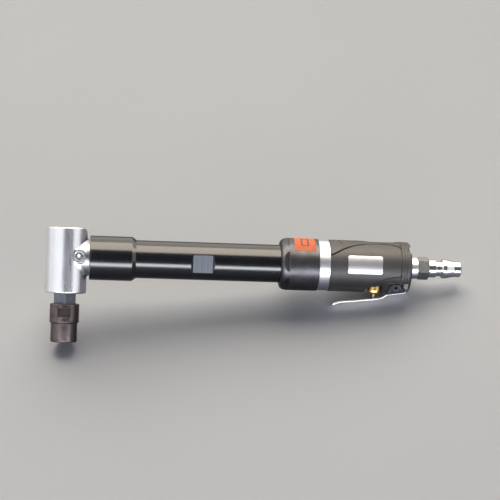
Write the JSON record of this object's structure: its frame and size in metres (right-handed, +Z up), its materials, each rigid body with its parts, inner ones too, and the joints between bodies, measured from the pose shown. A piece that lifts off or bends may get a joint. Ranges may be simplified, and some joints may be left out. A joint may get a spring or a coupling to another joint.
{
  "type": "angle die grinder",
  "caption": "Right-angle air die grinder with a long tubular extension, collet nut, lever throttle in a ribbed grip and a quick-connect air plug.",
  "frame": {"origin": "centre of the collet's mouth, where the shank of a tool goes in", "axes": "+Z up the spindle away from the tool bit, +X along the body towards the air inlet"},
  "size_m": [0.2878, 0.0361, 0.0785],
  "materials": {
    "polished_aluminium": "polished",
    "hardened_steel": "ground",
    "bearing_steel": "polished",
    "phosphated_steel": "brown phosphate, satin",
    "black_anodised": "gloss black anodised",
    "black_steel": "satin black",
    "orange_label": "printed film, no text",
    "grey_steel": "ground",
    "dark_aluminium": "anodised",
    "vane_composite": "resin fabric",
    "dark_rubber": "satin, moulded",
    "seal_rubber": "matte",
    "brushed_plate": "brushed",
    "bright_steel": "bright nickel plated",
    "brass": "turned",
    "washer_zinc": "zinc plated",
    "chromed_steel": "bright",
    "felt": "pressed felt",
    "black_plastic": "moulded"
  },
  "bodies": {
    "housing": {"angle_head": "polished_aluminium", "bearing_circlips": "hardened_steel", "bearing_retainer": "hardened_steel", "cap_label": "orange_label", "coupler_plug": "chromed_steel", "coupling_nut": "black_anodised", "exhaust_cover": "black_plastic", "exhaust_felt": "felt", "extension_tube": "black_anodised", "front_cap": "black_steel", "front_end_plate": "grey_steel", "front_gasket": "seal_rubber", "grease_ball": "bearing_steel", "grease_fitting": "grey_steel", "grip_sleeve": "dark_rubber", "inlet_bushing": "polished_aluminium", "inlet_screen": "grey_steel", "lever_pin": "bright_steel", "lower_bearing_outer_ring": "bearing_steel", "motor_cylinder": "grey_steel", "motor_dowel": "hardened_steel", "motor_housing": "dark_aluminium", "pinion_bearing_outer_rings": "bearing_steel", "rating_plate": "brushed_plate", "rear_end_plate": "grey_steel", "rotor_bearing_outer_rings": "bearing_steel", "seal_washer": "washer_zinc", "shaft_bearing_outer_rings": "bearing_steel", "silver_band": "polished_aluminium", "upper_bearing_outer_ring": "bearing_steel", "valve_bushing": "brass", "valve_seat_ring": "seal_rubber", "valve_spring": "bearing_steel"},
    "drive": {"drive_pinion": "hardened_steel", "pinion_spacer": "hardened_steel", "pinion_nut": "hardened_steel", "pinion_bearing_inner_rings": "bearing_steel", "extension_shaft": "hardened_steel", "shaft_couplings": "hardened_steel", "shaft_bearing_inner_rings": "bearing_steel", "rotor": "hardened_steel", "rotor_vanes": "vane_composite", "rotor_bearing_inner_rings": "bearing_steel"},
    "spindle_group": {"spindle": "hardened_steel", "gear_key": "hardened_steel", "driven_bevel_gear": "hardened_steel", "gear_nut": "hardened_steel", "collet": "hardened_steel", "lower_bearing_inner_ring": "bearing_steel", "upper_bearing_inner_ring": "bearing_steel"},
    "nut": {"collet_nut": "phosphated_steel"},
    "lever": {"throttle_lever": "bright_steel"},
    "valve": {"valve_stem": "bright_steel"},
    "drive_balls": {"pinion_bearing_balls": "bearing_steel", "shaft_bearing_balls": "bearing_steel", "rotor_bearing_balls": "bearing_steel"},
    "spindle_balls": {"lower_bearing_balls": "bearing_steel", "upper_bearing_balls": "bearing_steel"}
  },
  "joints": [
    {"name": "drive_spin", "type": "hinge", "parent": "housing", "child": "drive", "pos_m": [0.1, 0, 0.058], "axis": [1, 0, 0], "continuous": true},
    {"name": "spindle_spin", "type": "hinge", "parent": "housing", "child": "spindle_group", "pos_m": [0, 0, 0.03], "axis": [0, 0, 1], "continuous": true},
    {"name": "drive_balls_orbit", "type": "hinge", "parent": "housing", "child": "drive_balls", "pos_m": [0.1, 0, 0.058], "axis": [1, 0, 0], "continuous": true},
    {"name": "spindle_balls_orbit", "type": "hinge", "parent": "housing", "child": "spindle_balls", "pos_m": [0, 0, 0.06], "axis": [0, 0, 1], "continuous": true},
    {"name": "nut_turn", "type": "hinge", "parent": "spindle_group", "child": "nut", "pos_m": [0, 0, 0.013], "axis": [0, 0, 1], "continuous": true},
    {"name": "lever_squeeze", "type": "hinge", "parent": "housing", "child": "lever", "pos_m": [0.2275, 0, 0.0438], "axis": [0, 1, 0], "range_deg": [0, 8]},
    {"name": "valve_lift", "type": "slide", "parent": "housing", "child": "valve", "axis": [0, 0, 1], "range_m": [0, 0.00208], "deforming": ["valve_spring"]}
  ],
  "couplings": [
    {"joint": "spindle_spin", "follows": "drive_spin", "ratio": 0.75},
    {"joint": "drive_balls_orbit", "follows": "drive_spin", "ratio": 0.3815},
    {"joint": "spindle_balls_orbit", "follows": "drive_spin", "ratio": 0.3},
    {"joint": "valve_lift", "follows": "lever_squeeze", "m_per_rad": 0.0147}
  ]
}
